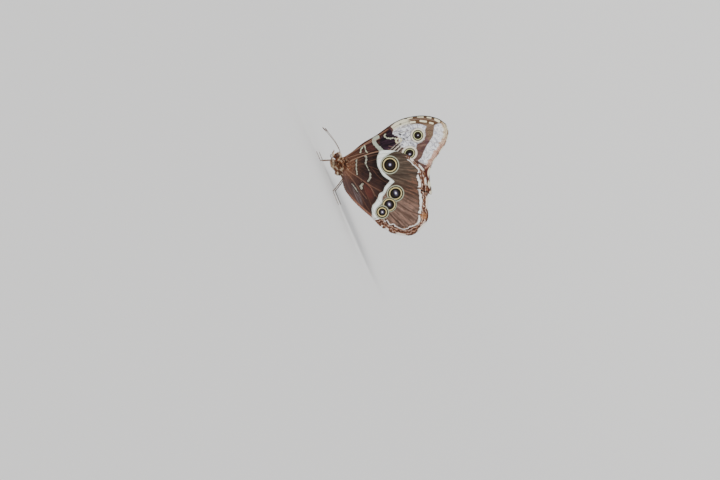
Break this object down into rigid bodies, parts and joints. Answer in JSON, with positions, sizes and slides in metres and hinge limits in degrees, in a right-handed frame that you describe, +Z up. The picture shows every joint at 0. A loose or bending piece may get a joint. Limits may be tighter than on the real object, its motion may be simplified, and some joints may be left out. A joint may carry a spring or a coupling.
{
  "type": "morpho butterfly",
  "caption": "Life-size morpho butterfly at rest, wings closed upright over its back with ringed eyespots on their undersides, standing on its legs as a still museum model.",
  "frame": {"origin": "on the floor, under the middle of the whole butterfly", "axes": "-X towards the head, -Y towards the animal's left side, +Z up"},
  "size_m": [0.0862, 0.0294, 0.0838],
  "materials": {
    "body_hair": "short brown hair with paler tufts",
    "wing_scales": "fine matt scales, brown with pale bands and ringed eyespots below, shining blue above",
    "eye": "dark, finely faceted and glossy",
    "leg_and_feeler": "smooth brown horn, slightly glossy"
  },
  "bodies": {
    "root": {"thorax": "body_hair", "abdomen": "body_hair", "head": "body_hair", "proboscis": "leg_and_feeler", "eye_left": "eye", "palp_left": "body_hair", "antenna_left": "leg_and_feeler", "foreleg_left": "body_hair", "forewing_left": "wing_scales", "hindwing_left": "wing_scales", "leg_mid_femur_left": "body_hair", "leg_mid_tibia_left": "leg_and_feeler", "leg_mid_tarsus_left": "leg_and_feeler", "leg_hind_femur_left": "body_hair", "leg_hind_tibia_left": "leg_and_feeler", "leg_hind_tarsus_left": "leg_and_feeler", "eye_right": "eye", "palp_right": "body_hair", "antenna_right": "leg_and_feeler", "foreleg_right": "body_hair", "forewing_right": "wing_scales", "hindwing_right": "wing_scales", "leg_mid_femur_right": "body_hair", "leg_mid_tibia_right": "leg_and_feeler", "leg_mid_tarsus_right": "leg_and_feeler", "leg_hind_femur_right": "body_hair", "leg_hind_tibia_right": "leg_and_feeler", "leg_hind_tarsus_right": "leg_and_feeler"}
  },
  "joints": []
}
